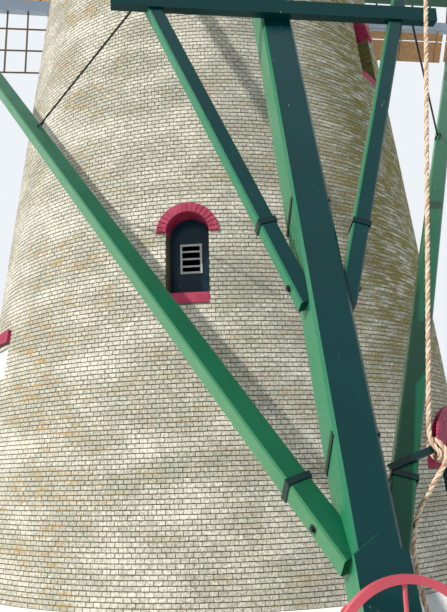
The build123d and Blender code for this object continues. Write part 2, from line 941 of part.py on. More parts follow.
def foot_board():
    """Board with a gabled top on the front of the pole's foot."""
    half = foot_board_width / 2
    outline = Polyline(
        (-half, pole_bottom), (half, pole_bottom), (half, foot_board_shoulder),
        (0, foot_board_peak), (-half, foot_board_shoulder), close=True
    )
    upright = extrude(Plane.XZ * make_face(outline), amount=pole_foot_reach + cut_reach)
    low = pole_axis_point(pole_bottom - cut_reach)
    high = pole_axis_point(foot_board_peak + cut_reach)
    shift = Vector(0, -cos(pole_angle), sin(pole_angle)) * ((pole_depth + foot_board_thickness) / 2)
    slab = timber(low + shift, high + shift, 2 * foot_board_width, foot_board_thickness)
    return slab & upright


def rope():
    """Brake rope from the lever to the cleat arm, with its slack in a long loop."""
    route = [Vector(*rope_head, deck + rope_head_rise)]
    route += [Vector(*point) for point in rope_route]
    radii = []
    for before, here, after in zip(route, route[1:], route[2:]):
        arrive = here - before
        leave = after - here
        turn = radians(arrive.get_angle(leave))
        shorter = min(arrive.length, leave.length)
        radii.append(0.45 * shorter / tan(turn / 2))
    print("rope radii", [round(radius) for radius in radii])
    path = FilletPolyline(*route, radius=radii)
    section = Plane(origin=path @ 0, z_dir=path % 0) * Circle(rope_radius)
    tube = sweep(section, path=path)
    print("rope volume over section times length", tube.volume / (section.area * path.length))
    return tube


def cleat_arm():
    """Flat bar on the outer face of the right long brace, given along and across it."""
    foot = Vector(-long_brace_foot[0], *long_brace_foot[1:])
    top = Vector(-long_brace_top[0], *long_brace_top[1:])
    unit = (top - foot).normalized()
    side = (Vector(1, 0, 0) - unit * unit.X).normalized()
    face = side.cross(unit)
    seat = foot + face * ((long_brace_size + arm_thickness) / 2)
    start = seat + unit * arm_start[0] + side * arm_start[1]
    end = seat + unit * arm_end[0] + side * arm_end[1]
    return timber(start, end, arm_thickness, arm_width, 0.0, face)


def pole_side_bar(height):
    """Flat bar on the pole's left side that falls backwards from its front edge."""
    back = Vector(0, cos(pole_angle), -sin(pole_angle))
    down = Vector(0, -sin(pole_angle), -cos(pole_angle))
    front = Vector(-(pole_width + iron_thickness) / 2, pole_y(height), height)
    along = back + down * pole_bar_fall
    return timber(
        front + along * pole_bar_reach[0], front + along * pole_bar_reach[1], iron_thickness, iron_width
    )


def build_tail(cap):
    pole = whole_pole()
    short_left = timber(
        short_brace_foot, short_brace_top, short_brace_size, short_brace_size, brace_chamfer
    ) - pole - cap["short_spruit"][0]
    long_left = timber(
        long_brace_foot, long_brace_top, long_brace_size, long_brace_size, brace_chamfer
    ) - pole - cap["long_spruit"][0]
    shorts = [short_left, mirrored(short_left)]
    longs = [long_left, mirrored(long_left)]
    beam = cross_beam() - pole - shorts[0] - shorts[1]
    bore = radial_cylinder(axle_radius + bearing_clearance, -pole_foot_reach, 0)
    board = foot_board() - bore
    hanger_z = cross_beam_bottom + cross_beam_height / 3
    hanger_start = (cross_beam_length / 2 - hanger_inset, pole_y(cross_beam_bottom), hanger_z)
    hanger = timber(hanger_start, hanger_reach, 2 * hanger_radius, 2 * hanger_radius)
    hanger = hanger - longs[1] - beam
    straps = []
    for height in pole_bar_heights:
        bar = pole_side_bar(height)
        straps += [bar, mirrored(bar)]
    short_strap = collar(
        short_brace_foot, short_brace_top, short_strap_height, short_brace_size, short_brace_size
    )
    long_strap = collar(
        long_brace_foot, long_brace_top, long_strap_height, long_brace_size, long_brace_size
    )
    for strap in (short_strap, long_strap):
        straps += [strap, mirrored(strap)]
    arm = cleat_arm() - mirrored(long_strap)
    return {
        "tail_pole": [pole - bore], "short_braces": shorts, "long_braces": longs,
        "tail_cross_beam": [beam], "hanger_rods": [hanger, mirrored(hanger)],
        "iron_straps": straps, "foot_board": [board], "cleat_arm": [arm], "brake_rope": [rope()],
    }


def build_sails():
    half = stock_root / 2
    outer_depth = half
    inner_depth = -half
    stock = tapered_stock()
    frame = sail_frame() - stock
    boards = leading_boards()
    stubs = [stub - stock for stub in board_bars()]
    nodes = {
        "windshaft": [windshaft()],
        "outer_stock": [arm_place(0, outer_depth) * stock],
        "inner_stock": [arm_place(1, inner_depth) * stock],
    }
    for name, first, depth in (("outer", 0, outer_depth), ("inner", 1, inner_depth)):
        places = [arm_place(first, depth), arm_place(first + 2, depth)]
        nodes[name + "_sail_frames"] = [place * frame for place in places]
        nodes[name + "_sail_boards"] = [place * piece for place in places for piece in boards + stubs]
    return nodes


def build_tower():
    bays = wall_bays()
    door_bay = bays[0]
    lower = height_slice(door_bay, 0, jamb_height)
    jambs = sorted(lower.solids(), key=lambda solid: solid.center().X)
    nodes = {"door_jamb_left": [jambs[0]], "door_jamb_right": [jambs[1]]}
    nodes["wall_over_door"] = height_slice(door_bay, jamb_height, split_height).solids()
    nodes["wall_above_door"] = height_slice(door_bay, split_height, wall_height).solids()
    for index in range(1, bay_count):
        nodes[f"wall_bay_{index}"] = bays[index].solids()
    rings = []
    sills = []
    shutters = []
    vents = []
    for azimuth, sill, storey in window_places:
        place = at_azimuth(azimuth)
        rings.append(place * window_ring_solid(sill))
        sills.append(place * sill_solid(sill, storey))
        shutters.append(place * shutter_solid(sill))
        vents.append(place * vent_solid(sill))
    thresholds = []
    pintles = []
    leaf = door_leaf()
    for azimuth in (door_azimuth, rear_door_azimuth):
        place = at_azimuth(azimuth)
        rings.append(place * door_ring_solid())
        thresholds.append(place * threshold_solid())
        for z in hinge_heights:
            pintles.append(place * door_pintle(z))
            pintles.append(place * flipped(door_pintle(z)))
    front = at_azimuth(door_azimuth)
    rear = at_azimuth(rear_door_azimuth)
    hatch = at_azimuth(hatch_azimuth)
    nodes.update({
        "brick_arches": rings, "window_sills": sills, "window_shutters": shutters, "shutter_vents": vents,
        "door_thresholds": thresholds, "door_pintles": pintles,
        "door_leaf_right": [front * leaf], "door_leaf_left": [front * flipped(leaf)],
        "rear_door_leaves": [rear * leaf, rear * flipped(leaf)],
        "hatch_hood": [hatch * hood_solid()], "hatch_shutter": [hatch * hatch_shutter()],
        "ground_slab": [frustum(0, slab_thickness, -base_wall)],
        "floor_boards": [floor_boards(first_floor_level, 1), floor_boards(second_floor_level, 2)],
        "floor_joists": floor_joists(first_floor_level, 1) + floor_joists(second_floor_level, 2),
        "curb_ring": [ring_solid(wall_height, curb_height)],
    })
    return nodes


def write_nodes(nodes):
    os.makedirs("parts", exist_ok=True)
    for name, solids in nodes.items():
        pieces = []
        for solid in solids:
            pieces.extend(solid.solids())
        shape = pieces[0] if len(pieces) == 1 else Compound(children=pieces)
        export_step(shape, f"parts/{name}.step")


cap_nodes = build_cap()
all_nodes = build_tower()
all_nodes.update(cap_nodes)
all_nodes.update(build_tail(cap_nodes))
all_nodes.update(build_sails())
all_nodes["capstan_wheel"] = [capstan()]
write_nodes(all_nodes)
print(len(all_nodes), "nodes")
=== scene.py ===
import json
from math import asin, cos, pi, radians, sin, sqrt

import bpy
import numpy as np
from mathutils import Matrix, Vector
from mathutils.bvhtree import BVHTree


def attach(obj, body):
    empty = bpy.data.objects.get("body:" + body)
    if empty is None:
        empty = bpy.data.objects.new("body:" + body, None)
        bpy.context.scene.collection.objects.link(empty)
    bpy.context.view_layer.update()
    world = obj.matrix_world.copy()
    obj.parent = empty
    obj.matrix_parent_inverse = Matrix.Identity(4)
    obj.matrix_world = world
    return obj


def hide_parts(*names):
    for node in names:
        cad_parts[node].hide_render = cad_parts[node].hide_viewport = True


# Tower mill seen from the tail side. Metres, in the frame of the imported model:
# the tail points to -Y, and azimuths are in degrees from -Y towards +X.
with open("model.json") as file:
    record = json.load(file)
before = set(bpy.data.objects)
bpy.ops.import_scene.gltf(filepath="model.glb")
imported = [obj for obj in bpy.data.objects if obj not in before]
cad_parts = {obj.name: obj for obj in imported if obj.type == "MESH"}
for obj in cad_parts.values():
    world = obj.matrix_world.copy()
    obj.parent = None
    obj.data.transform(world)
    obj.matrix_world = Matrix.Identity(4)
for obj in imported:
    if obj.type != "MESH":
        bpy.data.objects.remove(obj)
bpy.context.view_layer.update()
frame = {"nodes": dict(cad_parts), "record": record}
nodes = frame["nodes"]
random = np.random.default_rng(7)

# Wall and its openings
base_radius = 4.517
batter = 0.1165
wall_height = 12.15
bay_count = 10
door_azimuth = 53.4
window_places = ((-12.7, 4.14), (167.3, 4.14), (47.2, 8.47), (227.2, 8.47))
window_half = 0.31
window_rise = 0.93
window_ring = 0.145
sill_height = 0.15
window_recess = 0.35
shutter_groove = 0.008
vent_half = 0.1625
vent_bottom = 0.4
vent_height = 0.45
vent_bar_seat = 0.004
vent_bar_height = 0.026
vent_bar_depth = 0.012
door_half = 0.83
door_spring = 1.65
door_arch_drop = 0.35
door_ring = 0.385
door_recess = 0.35
leaf_clearance = 0.008
leaf_reach = (0.010, 0.936)
leaf_span = (0.132, 2.338)
leaf_planks_count = 7
plank_gap = 0.002
hatch_azimuth = -66.5
hatch_half = 0.35
hatch_span = (3.2, 3.72)
hood_half = 0.385
hood_span = (3.8, 3.99)

# Brickwork, mostly headers
course = 0.065
joint = 0.010
head_joint = 0.004
header = 0.105
brick_proud = (0.003, 0.009)
edge_wear = 0.003
ring_proud = 0.015

# Tail
pole_foot_reach = 9.248
pole_lean = 0.412
long_foot = Vector((-0.145, -8.62, 1.045))
long_lean = Vector((-0.5313, 0.8459, 1.0))
long_half = 0.1
short_foot = Vector((-0.174, -7.828, 3.103))
short_lean = Vector((-0.3359, 0.3709, 1.0))
short_half = 0.08
long_bolt = (0.372, -0.001)
short_bolt = (0.219, -0.014)
brace_bolt_radius = 0.024
hanger_inset = 0.26
hanger_reach = Vector((2.93, -4.128, 6.51))
beam_half_length = 1.908
beam_bottom = 6.815
beam_height = 0.168
hanger_radius = 0.013
eye_radius = 0.055
eye_wire_radius = 0.012

# Brake rope: its route's points, with one more above the arm on the taut stretch
rope_diameter = 0.045
rope_route = (
    (2.0540, -7.2000, 13.2816), (0.7443, -8.0659, 2.1700), (0.7128, -8.0867, 1.9027),
    (0.7777, -8.1727, 1.8011), (0.7897, -8.0779, 1.7276), (0.7385, -7.9684, 1.8571),
    (0.7532, -8.0558, 1.9393), (0.8209, -8.1527, 1.8483), (0.8078, -8.2050, 1.7433),
    (0.6600, -8.2150, 1.5600), (0.4800, -8.2580, 1.3250), (0.4050, -8.3300, 1.1000),
    (0.4040, -8.4300, 0.8420), (0.4193, -8.5255, 0.6365), (0.4883, -8.5645, 0.5499),
    (0.6000, -8.5793, 0.5168), (0.7117, -8.5645, 0.5499), (0.7807, -8.5255, 0.6365),
    (0.8060, -8.4330, 0.8420), (0.8120, -8.3320, 1.1100), (0.8550, -8.2400, 1.3700),
    (0.9150, -8.1700, 1.6200), (0.9580, -8.1000, 1.8000),
)
strand_count = 3
strand_pitch = 0.18
strand_sides = 8

# Cap roof
deck = 12.5005
roof_front = 3.15
roof_rear = -3.0
board_rows = 30
board_lap = 0.02
board_steps = 26
roof_ray_height = 1.1

# Camera fitted to the photo, and the sun
camera_place = (-1.759, -13.997, 1.75)
camera_yaw, camera_pitch, camera_roll = 0.1358, 0.2131, -0.0306
focal_pixels = 741.6
photo_height = 612
sensor_width = 36.0
sun_energy = 4.4
sun_spread = 1.2
sun_azimuth = -62
sun_height = 42
floor_half = 90.0


def srgb(red, green, blue):
    """Linear colour from the usual 0 to 255 values."""
    def linear(value):
        value /= 255
        return value / 12.92 if value <= 0.04045 else ((value + 0.055) / 1.055) ** 2.4
    return (linear(red), linear(green), linear(blue), 1.0)


# Materials

class Graph:
    """Node graph of one material, with a short call for each kind of node."""

    def __init__(self, name):
        self.material = bpy.data.materials.new(name)
        self.material.use_nodes = True
        self.tree = self.material.node_tree
        self.shader = self.tree.nodes["Principled BSDF"]
        self.place = self.node("ShaderNodeTexCoord").outputs["Object"]

    def node(self, kind, **settings):
        made = self.tree.nodes.new(kind)
        for name, value in settings.items():
            setattr(made, name, value)
        return made

    def feed(self, socket, value):
        if isinstance(value, bpy.types.NodeSocket):
            self.tree.links.new(value, socket)
        else:
            socket.default_value = value

    def math(self, operation, first, second=0.0):
        made = self.node("ShaderNodeMath", operation=operation)
        self.feed(made.inputs[0], first)
        self.feed(made.inputs[1], second)
        return made.outputs[0]

    def band(self, value, low, high):
        """Smooth step from 0 at low to 1 at high."""
        made = self.node("ShaderNodeMapRange", interpolation_type="SMOOTHSTEP")
        self.feed(made.inputs["Value"], value)
        made.inputs["From Min"].default_value = low
        made.inputs["From Max"].default_value = high
        return made.outputs["Result"]

    def noise(self, scale, stretch=(1, 1, 1), detail=4.0):
        mapping = self.node("ShaderNodeMapping")
        self.feed(mapping.inputs["Vector"], self.place)
        mapping.inputs["Scale"].default_value = stretch
        made = self.node("ShaderNodeTexNoise")
        self.feed(made.inputs["Vector"], mapping.outputs["Vector"])
        made.inputs["Scale"].default_value = scale
        made.inputs["Detail"].default_value = detail
        return made.outputs["Fac"]

    def blend(self, factor, first, second):
        made = self.node("ShaderNodeMix", data_type="RGBA")
        self.feed(made.inputs[0], factor)
        self.feed(made.inputs[6], first)
        self.feed(made.inputs[7], second)
        return made.outputs[2]

    def axis(self, name):
        made = self.node("ShaderNodeSeparateXYZ")
        self.feed(made.inputs[0], self.place)
        return made.outputs[name]

    def attribute(self, name):
        return self.node("ShaderNodeAttribute", attribute_name=name).outputs["Fac"]

    def finish(self, colour, roughness, height, depth, metallic=0.0):
        bump = self.node("ShaderNodeBump")
        bump.inputs["Distance"].default_value = depth
        self.feed(bump.inputs["Height"], height)
        self.feed(self.shader.inputs["Base Color"], colour)
        self.feed(self.shader.inputs["Roughness"], roughness)
        self.shader.inputs["Metallic"].default_value = metallic
        self.feed(self.shader.inputs["Normal"], bump.outputs["Normal"])
        return self.material


def limewash(name, wash, thin, tone_share):
    """Old limewash on brick, with algae on the right flank and ochre stains, most on the left."""
    graph = Graph(name)
    azimuth = graph.math("ARCTAN2", graph.axis("X"), graph.math("MULTIPLY", graph.axis("Y"), -1.0))
    height = graph.axis("Z")
    grain = graph.noise(38.0, detail=6.0)
    broad = graph.noise(0.9, (1, 1, 2.2))
    streak = graph.noise(3.0, (1, 1, 7.0), 5.0)
    worn = graph.band(graph.math("ADD", grain, graph.math("MULTIPLY", broad, 0.6)), 0.56, 0.98)
    colour = graph.blend(worn, wash, thin)
    if tone_share:
        tone = graph.math("MULTIPLY", graph.attribute("tone"), tone_share)
        colour = graph.blend(tone, colour, thin)
    algae = graph.math("MULTIPLY", graph.band(azimuth, 0.12, 0.62), graph.band(streak, 0.36, 0.58))
    algae = graph.math("MULTIPLY", algae, graph.band(height, 1.0, 4.5))
    colour = graph.blend(graph.math("MULTIPLY", algae, 0.9), colour, srgb(118, 112, 46))
    flank = graph.band(graph.math("MULTIPLY", azimuth, -1.0), 0.35, 0.75)
    ochre = graph.math("MULTIPLY", graph.band(streak, 0.50, 0.66), graph.band(broad, 0.44, 0.60))
    ochre = graph.math("MULTIPLY", ochre, graph.math("ADD", graph.math("MULTIPLY", flank, 0.9), 0.6))
    colour = graph.blend(graph.math("MULTIPLY", ochre, 0.45), colour, srgb(170, 135, 75))
    return graph.finish(colour, 0.9, grain, 0.004)


def crimson_brick(name):
    graph = Graph(name)
    grain = graph.noise(45.0, detail=5.0)
    patch = graph.noise(5.0)
    colour = graph.blend(graph.band(patch, 0.35, 0.7), srgb(140, 24, 62), srgb(168, 48, 84))
    chips = graph.band(graph.math("MULTIPLY", grain, patch), 0.40, 0.47)
    colour = graph.blend(graph.math("MULTIPLY", chips, 0.7), colour, srgb(205, 150, 155))
    return graph.finish(colour, graph.band(grain, -0.6, 1.2), grain, 0.004)


def timber_paint(name, deep, painted_lit_colour, painted_light_share):
    """Gloss paint on sawn timber, paler on the side that faces -X: painted sunlight on that side."""
    graph = Graph(name)
    fibre = graph.noise(6.0, (9, 9, 0.7), 6.0)
    patch = graph.noise(1.6)
    normal = graph.node("ShaderNodeNewGeometry").outputs["Normal"]
    split = graph.node("ShaderNodeSeparateXYZ")
    graph.feed(split.inputs[0], normal)
    # Painted sunlight: mask of the side that faces -X, which is blended towards the paler lit colour.
    painted_light_side = graph.band(graph.math("MULTIPLY", split.outputs["X"], -1.0), 0.35, 0.95)
    colour = graph.blend(graph.band(patch, 0.3, 0.75), deep, [0.8 * part for part in deep[:3]] + [1.0])
    colour = graph.blend(graph.math("MULTIPLY", painted_light_side, painted_light_share), colour, painted_lit_colour)
    chips = graph.band(graph.math("MULTIPLY", fibre, graph.noise(9.0)), 0.44, 0.48)
    colour = graph.blend(graph.math("MULTIPLY", chips, 0.5), colour, srgb(175, 165, 140))
    graph.shader.inputs["Specular IOR Level"].default_value = 0.22
    return graph.finish(colour, graph.band(patch, -0.5, 2.4), fibre, 0.0015)


def bare_timber(name, pale, dark, stretch):
    graph = Graph(name)
    fibre = graph.noise(9.0, stretch, 8.0)
    patch = graph.noise(1.1)
    colour = graph.blend(graph.band(fibre, 0.35, 0.68), pale, dark)
    colour = graph.blend(graph.math("MULTIPLY", graph.band(patch, 0.45, 0.75), 0.5), colour, dark)
    return graph.finish(colour, graph.band(fibre, -0.9, 1.1), fibre, 0.003)


def ironwork(name, colour, rust):
    graph = Graph(name)
    grain = graph.noise(60.0, detail=6.0)
    patch = graph.noise(4.0)
    rusty = graph.band(graph.math("MULTIPLY", grain, patch), 0.28, 0.42)
    mixed = graph.blend(graph.math("MULTIPLY", rusty, rust), colour, srgb(96, 58, 34))
    return graph.finish(mixed, graph.band(grain, -0.5, 1.4), grain, 0.002, 0.3)


def stone(name):
    graph = Graph(name)
    grain = graph.noise(30.0, detail=7.0)
    colour = graph.blend(graph.band(grain, 0.3, 0.7), srgb(150, 146, 136), srgb(112, 110, 102))
    return graph.finish(colour, 0.85, grain, 0.004)


def rope_fibre(name):
    """Laid rope of two yarn colours, with fine fibres."""
    graph = Graph(name)
    fibre = graph.noise(160.0, (1, 1, 0.35), 6.0)
    colour = graph.blend(graph.attribute("tone"), srgb(224, 203, 180), srgb(192, 156, 128))
    colour = graph.blend(graph.band(fibre, 0.45, 0.8), colour, srgb(120, 98, 72))
    return graph.finish(colour, 0.95, fibre, 0.002)


brick_face = limewash("brick_limewash", srgb(226, 220, 206), srgb(152, 152, 138), 0.45)
mortar = limewash("mortar_limewash", srgb(108, 104, 86), srgb(70, 70, 52), 0.0)
crimson = crimson_brick("crimson_paint")
# One tail paint in two copies: green is its painted sunlit copy and teal its painted shaded copy.
green = timber_paint("sunlit_green_paint", srgb(0, 82, 54), srgb(92, 166, 112), 0.5)
teal = timber_paint("shaded_teal_paint", srgb(0, 50, 52), srgb(52, 146, 100), 0.7)
# The iron straps' paint is the tail's teal, made darker still as painted shade.
shaded_strap_paint = timber_paint("shaded_strap_paint", srgb(0, 36, 36), srgb(0, 62, 52), 0.3)
shutter_blue = timber_paint("shutter_paint", srgb(10, 46, 62), srgb(20, 66, 82), 0.4)
white_paint = timber_paint("white_paint", srgb(214, 222, 218), srgb(226, 230, 224), 0.3)
stock_grey = timber_paint("stock_paint", srgb(146, 160, 178), srgb(176, 186, 198), 0.3)
wheel_red = timber_paint("wheel_paint", srgb(196, 82, 96), srgb(222, 126, 130), 0.3)
old_timber = bare_timber("old_timber", srgb(150, 128, 98), srgb(86, 68, 48), (1, 6, 6))
lath_timber = bare_timber("lath_timber", srgb(100, 80, 54), srgb(60, 45, 30), (6, 6, 6))
board_timber = bare_timber("board_timber", srgb(196, 156, 112), srgb(158, 118, 78), (1, 7, 7))
shingle = bare_timber("roof_boards", srgb(112, 104, 92), srgb(62, 56, 48), (8, 1, 8))
black_iron = ironwork("black_iron", srgb(24, 26, 28), 0.35)
shaft_iron = ironwork("shaft_iron", srgb(70, 74, 76), 0.25)
threshold_stone = stone("threshold_stone")
rope_yarn = rope_fibre("rope_yarn")

slot_materials = {
    "masonry": mortar, "crimson_brick": crimson, "shutter_paint": shutter_blue,
    "white_paint": white_paint, "ironwork": black_iron, "stone": threshold_stone,
    "bare_timber": old_timber, "green_timber": teal, "roof_shingles": shingle,
    "rope": rope_yarn, "cast_iron": shaft_iron, "stock_paint": stock_grey,
    "sail_lath": lath_timber, "sail_board": board_timber, "wheel_paint": wheel_red,
}
# Nodes that take the painted sunlit green copy of the tail paint, and the iron straps and cleat arm that
# take the darker painted shade copy.
painted_nodes = {
    "long_braces": green, "short_spruit": green, "long_spruit": green, "brake_lever": green,
    "iron_straps": shaded_strap_paint, "cleat_arm": shaded_strap_paint,
}


def dress_nodes():
    """Give every carried-over node the material of its slot, or the one that painted_nodes gives it."""
    slots = {row["node"]: row["material_slot"] for row in frame["record"]["subparts"]}
    for name, node in nodes.items():
        material = painted_nodes.get(name, slot_materials[slots[name]])
        node.data.materials.clear()
        node.data.materials.append(material)


# Meshes

class Shape:
    """Points and faces of one joined mesh."""

    def __init__(self):
        self.points = []
        self.faces = []
        self.tones = []

    def prism(self, low, high, tone=0.0):
        """Closed solid between two rings with as many points each."""
        start = len(self.points)
        count = len(low)
        self.points += [tuple(point) for point in list(low) + list(high)]
        self.tones += [tone] * (2 * count)
        self.faces.append([start + step for step in range(count)][::-1])
        self.faces.append([start + count + step for step in range(count)])
        for step in range(count):
            after = (step + 1) % count
            self.faces.append((start + step, start + after, start + count + after, start + count + step))

    def beam(self, start, end, across, width, depth):
        """Rectangular bar from start to end, its width turned towards across."""
        start, end = Vector(start), Vector(end)
        unit = (end - start).normalized()
        side = (Vector(across) - unit * unit.dot(Vector(across))).normalized() * width / 2
        face = unit.cross(side).normalized() * depth / 2
        section = (-side - face, side - face, side + face, -side + face)
        self.prism([start + corner for corner in section], [end + corner for corner in section])

    def disc(self, point, normal, radius, height, sides=10):
        """Short cylinder standing on a point."""
        normal = Vector(normal).normalized()
        first = normal.orthogonal().normalized()
        second = normal.cross(first)
        turns = [2 * pi * step / sides for step in range(sides)]
        rim = [first * (radius * cos(turn)) + second * (radius * sin(turn)) for turn in turns]
        point = Vector(point)
        self.prism([point + place for place in rim], [point + place + normal * height for place in rim])

    def bolt(self, point, normal, radius=0.022):
        """Washer and square-shouldered bolt head."""
        self.disc(point, normal, radius * 1.5, 0.005, 12)
        self.disc(Vector(point) + Vector(normal).normalized() * 0.005, normal, radius, radius * 0.8, 6)

    def tube(self, path, radius, sides=10, closed=False, tone=0.0):
        """Round bar along a path, its rings carried on without a twist."""
        start = len(self.points)
        path = [Vector(point) for point in path]
        count = len(path)
        side = None
        for index, point in enumerate(path):
            before = path[index - 1] if index or closed else point
            after = path[(index + 1) % count] if index < count - 1 or closed else point
            unit = (after - before).normalized()
            side = unit.orthogonal() if side is None else side - unit * side.dot(unit)
            side.normalize()
            other = unit.cross(side)
            for step in range(sides):
                angle = 2 * pi * step / sides
                self.points.append(tuple(point + (side * cos(angle) + other * sin(angle)) * radius))
                self.tones.append(tone)
        for index in range(count if closed else count - 1):
            low = start + index * sides
            high = start + ((index + 1) % count) * sides
            for step in range(sides):
                after = (step + 1) % sides
                self.faces.append((low + step, low + after, high + after, high + step))
        if not closed:
            self.faces.append([start + step for step in range(sides)][::-1])
            self.faces.append([start + (count - 1) * sides + step for step in range(sides)])

    def place(self, name, material, body, slot, smooth=False):
        mesh = bpy.data.meshes.new(name)
        mesh.from_pydata(self.points, [], self.faces)
        tone = mesh.attributes.new("tone", "FLOAT", "POINT")
        tone.data.foreach_set("value", np.array(self.tones, np.float32))
        mesh.materials.append(material)
        mesh.polygons.foreach_set("use_smooth", [smooth] * len(mesh.polygons))
        mesh.update()
        piece = bpy.data.objects.new(name, mesh)
        bpy.context.scene.collection.objects.link(piece)
        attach(piece, body)
        return piece


def outer_radius(z):
    return base_radius - batter * z


def at_azimuth(azimuth, out, along, z):
    """Point from a radial distance, a tangential distance and a height."""
    angle = radians(azimuth)
    return Vector((sin(angle) * out + cos(angle) * along, -cos(angle) * out + sin(angle) * along, z))


# Brickwork of the wall

def window_spring(sill):
    return sill + window_rise


def arch_half(z, centre, outer):
    """Half width of a circle about a height, less where the height is off it."""
    return np.sqrt(np.clip(outer**2 - (z - centre) ** 2, 0, None))


def window_gap(low, high, sill):
    """Half width that the bricks of each course leave free at a window."""
    middle = (low + high) / 2
    spring = window_spring(sill)
    straight = np.where((middle > sill - sill_height) & (middle < spring), window_half, 0.0)
    head = arch_half(high, spring, window_half + window_ring)
    return np.where(middle >= spring, head, straight)


def door_gap(low, high):
    middle = (low + high) / 2
    centre = door_spring - door_arch_drop
    outer = sqrt(door_half**2 + door_arch_drop**2) + door_ring
    return np.where(middle >= door_spring, arch_half(high, centre, outer), door_half)


def span_gap(low, high, span, half):
    middle = (low + high) / 2
    return np.where((middle > span[0]) & (middle < span[1]), half, 0.0)


def opening_gaps(low, high):
    """(azimuth, half width for each course) of every opening, ring and hood."""
    gaps = [(azimuth, window_gap(low, high, sill)) for azimuth, sill in window_places]
    gaps += [(azimuth, door_gap(low, high)) for azimuth in (door_azimuth, door_azimuth + 180)]
    gaps.append((hatch_azimuth, span_gap(low, high, hatch_span, hatch_half)))
    gaps.append((hatch_azimuth, span_gap(low, high, hood_span, hood_half)))
    return gaps


def brick_layout():
    """Start angle, end angle, bottom and top of every brick, trimmed at the openings."""
    rows = []
    for index in range(int(wall_height / course)):
        low = index * course + joint / 2
        radius = outer_radius(low)
        count = round(2 * pi * radius / (header + joint))
        step = 2 * pi / count
        starts = step * (np.arange(count) + 0.5 * (index % 2)) + random.uniform(0, 0.1 * step)
        half_joint = head_joint / 2 / radius
        wobble = random.uniform(-0.002, 0.002, (2, count)) / radius
        rows.append(np.stack([
            starts + half_joint + wobble[0], starts + step - half_joint + wobble[1],
            np.full(count, low), np.full(count, low + course - joint),
        ], 1))
    return trimmed(np.concatenate(rows))


def trimmed(bricks):
    """Cut bricks back at the openings, and leave out what lies within them."""
    first, last, low, high = bricks.T.copy()
    keep = np.ones(len(first), bool)
    radius = outer_radius((low + high) / 2)
    for azimuth, half in opening_gaps(low, high):
        reach = np.arcsin(np.clip(half / radius, 0, 0.9))
        middle = (first + last) / 2
        offset = (middle - radians(azimuth) + pi) % (2 * pi) - pi
        shift = middle - offset
        near = half > 0
        right = near & (offset >= 0) & (first - shift < reach)
        left = near & (offset < 0) & (last - shift > -reach)
        first = np.where(right, shift + reach, first)
        last = np.where(left, shift - reach, last)
    keep = (last - first) * radius > 2 * joint
    return np.stack([first, last, low, high], 1)[keep]


def brick_mesh(name, bricks):
    """Bricks with worn edges: five faces each, the back left open in the mortar."""
    first, last, low, high = bricks.T
    count = len(bricks)
    back, worn = 0.004, edge_wear
    proud = random.uniform(*brick_proud, count)
    wear = worn / outer_radius(low)
    columns = []
    for depth, inset, drop in ((-back, 0.0, 0.0), (None, wear, worn)):
        for angle, z, way in ((first, low, 1), (last, low, 1), (last, high, -1), (first, high, -1)):
            side = np.where(angle is first, 1, -1)
            turned = angle + side * inset
            level = z + way * drop
            lift = depth if depth is not None else proud + random.uniform(-0.0012, 0.0012, count)
            radius = outer_radius(level) + lift
            columns.append(np.stack([np.sin(turned) * radius, -np.cos(turned) * radius, level], 1))
    points = np.stack(columns, 1).reshape(-1, 3)
    sides = np.array([(4, 5, 6, 7), (0, 1, 5, 4), (1, 2, 6, 5), (2, 3, 7, 6), (3, 0, 4, 7)])
    faces = (np.arange(count)[:, None, None] * 8 + sides).reshape(-1, 4)
    shape = Shape()
    shape.points = points.tolist()
    shape.faces = faces.tolist()
    shape.tones = np.repeat(random.random(count) ** 1.6, 8).tolist()
    return shape.place(name, brick_face, "tower", "masonry")


def wall_bricks():
    """One joined mesh of bricks for each bay of the wall."""
    bricks = brick_layout()
    bay_angle = 360 / bay_count
    middle = np.degrees((bricks[:, 0] + bricks[:, 1]) / 2)
    bay = np.floor((middle - door_azimuth + bay_angle / 2) % 360 / bay_angle).astype(int)
    for index in range(bay_count):
        brick_mesh(f"bricks_bay_{index}", bricks[bay == index])


def voussoirs(shape, azimuth, centre, inner, outer, spring):
    """Ring of bricks on edge round an arch, from spring to spring."""
    start = asin((spring - centre) / inner)
    count = round((pi - 2 * start) * (inner + outer) / 2 / (course + joint))
    step = (pi - 2 * start) / count
    gap = joint / 2 / inner
    for index in range(count):
        angles = (start + index * step + gap, start + (index + 1) * step - gap)
        lift = ring_proud + random.uniform(0.002, 0.006)
        rings = []
        for depth in (-0.02, lift):
            ring = []
            first, last = angles
            for angle, radius in ((first, inner), (first, outer), (last, outer), (last, inner)):
                z = centre + radius * sin(angle)
                ring.append(at_azimuth(azimuth, outer_radius(z) + depth, radius * cos(angle), z))
            rings.append(ring)
        shape.prism(rings[0], rings[1])


def arch_bricks():
    shape = Shape()
    edge = 0.004
    for azimuth, sill in window_places:
        spring = window_spring(sill)
        voussoirs(shape, azimuth, spring, window_half + edge, window_half + window_ring - edge, spring)
    inner = sqrt(door_half**2 + door_arch_drop**2)
    middle = inner + door_ring / 2
    for azimuth in (door_azimuth, door_azimuth + 180):
        for low, high in ((inner + edge, middle - edge), (middle + edge, inner + door_ring - edge)):
            voussoirs(shape, azimuth, door_spring - door_arch_drop, low, high, door_spring)
    shape.place("arch_voussoirs", crimson, "tower", "crimson_brick")


# Windows and doors

def vent_bars():
    """Three level bars in each shutter's vent."""
    shape = Shape()
    for azimuth, sill in window_places:
        apex = window_spring(sill) + window_half
        face = outer_radius(apex) - window_recess - shutter_groove + vent_bar_seat
        for step in (1, 2, 3):
            z = sill + vent_bottom + vent_height * step / 4
            start = at_azimuth(azimuth, face, -vent_half, z)
            end = at_azimuth(azimuth, face, vent_half, z)
            shape.beam(start, end, (0, 0, 1), vent_bar_height, vent_bar_depth)
    shape.place("vent_bars", white_paint, "tower", "white_paint")


